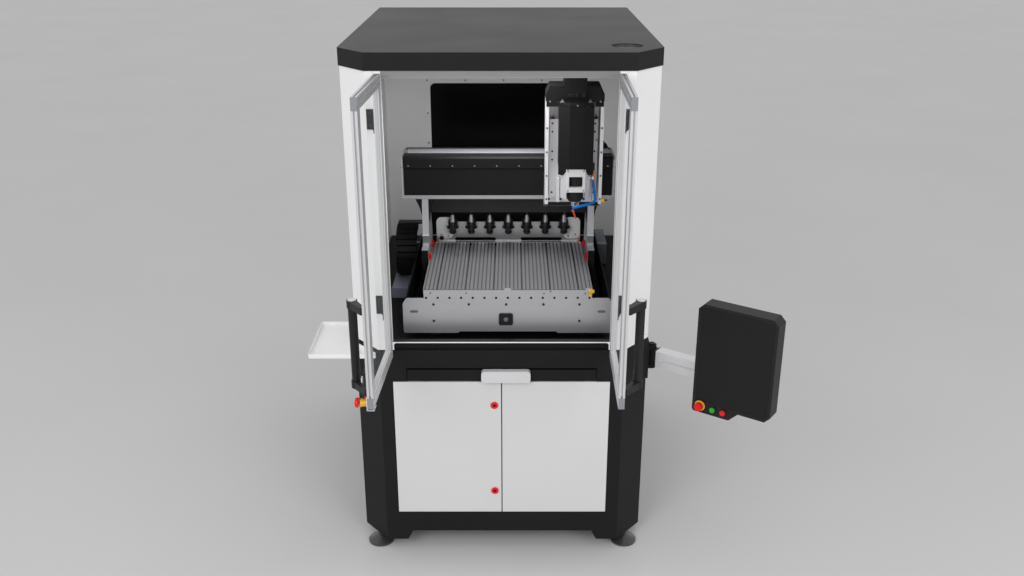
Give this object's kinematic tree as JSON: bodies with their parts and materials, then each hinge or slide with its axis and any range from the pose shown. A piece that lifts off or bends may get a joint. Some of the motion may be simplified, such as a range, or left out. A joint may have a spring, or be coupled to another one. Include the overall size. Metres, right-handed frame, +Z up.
{
  "type": "CNC machining center",
  "caption": "Floor-standing enclosed CNC router: glazed hood with swinging doors over a cabinet, moving gantry, spindle head, slotted table, tool rack, side tray and a control panel on an arm.",
  "frame": {"origin": "On the floor, midway between the four levelling feet.", "axes": "+X to the machine's right seen from the front, +Y to the back, +Z up; the doors face -Y."},
  "size_m": [1.6821, 1.7558, 1.928],
  "materials": {
    "charcoal_paint": "fine satin powder coat",
    "white_paint": "satin powder coat",
    "door_paint": "satin powder coat",
    "satin_aluminium": "anodised satin",
    "plate_aluminium": "brushed",
    "table_aluminium": "anodised grey",
    "ground_steel": "ground",
    "plated_steel": "bright plated",
    "clear_pane": "clear",
    "dark_pane": "dark gloss",
    "black_plastic": "fine grain",
    "white_plastic": "smooth",
    "red_plastic": "smooth",
    "yellow_plastic": "smooth",
    "green_plastic": "smooth",
    "blue_plastic": "smooth",
    "orange_plastic": "smooth",
    "grey_paint": "satin",
    "bracket_zinc": "zinc plated"
  },
  "bodies": {
    "cabinet": {"base_cabinet": "charcoal_paint", "deck_plate": "charcoal_paint", "levelling_feet": "plated_steel", "drawer_runners": "plate_aluminium", "axis_drives": "grey_paint", "hood_shell": "white_paint", "roof_cap": "charcoal_paint", "roof_port_cover": "charcoal_paint", "rear_window": "dark_pane", "hinge_leaves_hood": "black_plastic", "tray": "white_paint", "tray_bracket": "bracket_zinc", "arm_bracket": "charcoal_paint", "bed_frame": "charcoal_paint", "bed_front_plate": "plate_aluminium", "table_planks": "table_aluminium", "y_rails": "ground_steel", "tool_rack": "white_paint", "tool_clips": "black_plastic", "tool_holders": "ground_steel", "chain_tray": "charcoal_paint", "cable_chain": "black_plastic"},
    "left_door": {"door_frame_left": "satin_aluminium", "door_glass_left": "clear_pane", "hinge_leaves_left": "black_plastic", "handle_left": "black_plastic", "station_plate": "satin_aluminium", "station_lamp": "red_plastic", "station_estop_base": "yellow_plastic"},
    "right_door": {"door_frame_right": "satin_aluminium", "door_glass_right": "clear_pane", "hinge_leaves_right": "black_plastic", "handle_right": "black_plastic"},
    "station_call": {"station_button": "white_plastic"},
    "station_stop": {"station_estop_head": "red_plastic"},
    "lower_left_door": {"cabinet_door_left": "door_paint", "lock_bezels": "red_plastic"},
    "lower_right_door": {"cabinet_door_right": "door_paint"},
    "upper_lock": {"lock_insert_upper": "black_plastic"},
    "lower_lock": {"lock_insert_lower": "black_plastic"},
    "tool_drawer": {"drawer": "charcoal_paint", "drawer_handle": "white_plastic"},
    "panel_arm": {"arm": "satin_aluminium"},
    "panel": {"panel_housing": "black_plastic", "panel_screen": "dark_pane"},
    "panel_stop_head": {"panel_estop_head": "red_plastic"},
    "panel_start": {"panel_start_button": "green_plastic"},
    "panel_stop": {"panel_stop_button": "red_plastic"},
    "gantry": {"gantry_uprights": "satin_aluminium", "gantry_braces": "charcoal_paint", "gantry_beam": "satin_aluminium", "beam_cover": "charcoal_paint"},
    "carriage": {"head_saddle": "satin_aluminium", "head_cap": "charcoal_paint"},
    "spindle_unit": {"spindle_slide": "satin_aluminium", "spindle_cover": "charcoal_paint", "spindle_body": "black_plastic", "coolant_hose": "blue_plastic", "hose_nozzle": "orange_plastic"},
    "spindle": {"spindle_collet": "ground_steel"}
  },
  "joints": [
    {"name": "left_door_hinge", "type": "hinge", "parent": "cabinet", "child": "left_door", "pos_m": [-0.415, -0.685, 1.35], "axis": [0, 0, -1], "range_deg": [-92.7, 12]},
    {"name": "right_door_hinge", "type": "hinge", "parent": "cabinet", "child": "right_door", "pos_m": [0.415, -0.685, 1.35], "axis": [0, 0, 1], "range_deg": [-89, 14]},
    {"name": "lower_left_hinge", "type": "hinge", "parent": "cabinet", "child": "lower_left_door", "pos_m": [-0.37547, -0.646, 0.45], "axis": [0, 0, -1], "range_deg": [0, 100]},
    {"name": "lower_right_hinge", "type": "hinge", "parent": "cabinet", "child": "lower_right_door", "pos_m": [0.37547, -0.646, 0.45], "axis": [0, 0, 1], "range_deg": [0, 100]},
    {"name": "upper_lock_turn", "type": "hinge", "parent": "lower_left_door", "child": "upper_lock", "pos_m": [-0.027, -0.65, 0.6355], "axis": [0, 1, 0], "range_deg": [0, 90]},
    {"name": "lower_lock_turn", "type": "hinge", "parent": "lower_left_door", "child": "lower_lock", "pos_m": [-0.027, -0.65, 0.267], "axis": [0, 1, 0], "range_deg": [0, 90]},
    {"name": "drawer_slide", "type": "slide", "parent": "cabinet", "child": "tool_drawer", "axis": [0, -1, 0], "range_m": [0, 0.3]},
    {"name": "arm_swing", "type": "hinge", "parent": "cabinet", "child": "panel_arm", "pos_m": [0.569, -0.501, 0.77], "axis": [0, 0, 1], "range_deg": [-20, 50]},
    {"name": "panel_swivel", "type": "hinge", "parent": "panel_arm", "child": "panel", "pos_m": [0.87045, -0.71208, 0.77], "axis": [0, 0, 1], "range_deg": [0, 60]},
    {"name": "panel_stop_head_press", "type": "slide", "parent": "panel", "child": "panel_stop_head", "axis": [0.5736, 0.8192, 0], "range_m": [0, 0.004], "stiffness_N_per_m": 900},
    {"name": "panel_start_press", "type": "slide", "parent": "panel", "child": "panel_start", "axis": [0.5736, 0.8192, 0], "range_m": [0, 0.004], "stiffness_N_per_m": 500},
    {"name": "panel_stop_press", "type": "slide", "parent": "panel", "child": "panel_stop", "axis": [0.5736, 0.8192, 0], "range_m": [0, 0.004], "stiffness_N_per_m": 500},
    {"name": "station_call_press", "type": "slide", "parent": "left_door", "child": "station_call", "axis": [0.9989, -0.0471, 0], "range_m": [0, 0.004], "stiffness_N_per_m": 500},
    {"name": "station_stop_press", "type": "slide", "parent": "left_door", "child": "station_stop", "axis": [0.9989, -0.0471, 0], "range_m": [0, 0.005], "stiffness_N_per_m": 900},
    {"name": "gantry_slide", "type": "slide", "parent": "cabinet", "child": "gantry", "axis": [0, 1, 0], "range_m": [-0.24, 0.33], "deforming": ["cable_chain"]},
    {"name": "carriage_slide", "type": "slide", "parent": "gantry", "child": "carriage", "axis": [1, 0, 0], "range_m": [-0.53, 0.045]},
    {"name": "spindle_lift", "type": "slide", "parent": "carriage", "child": "spindle_unit", "axis": [0, 0, 1], "range_m": [-0.18, 0.01]},
    {"name": "spindle_turn", "type": "hinge", "parent": "spindle_unit", "child": "spindle", "pos_m": [0.274, -0.335, 1.34], "axis": [0, 0, 1], "continuous": true}
  ]
}
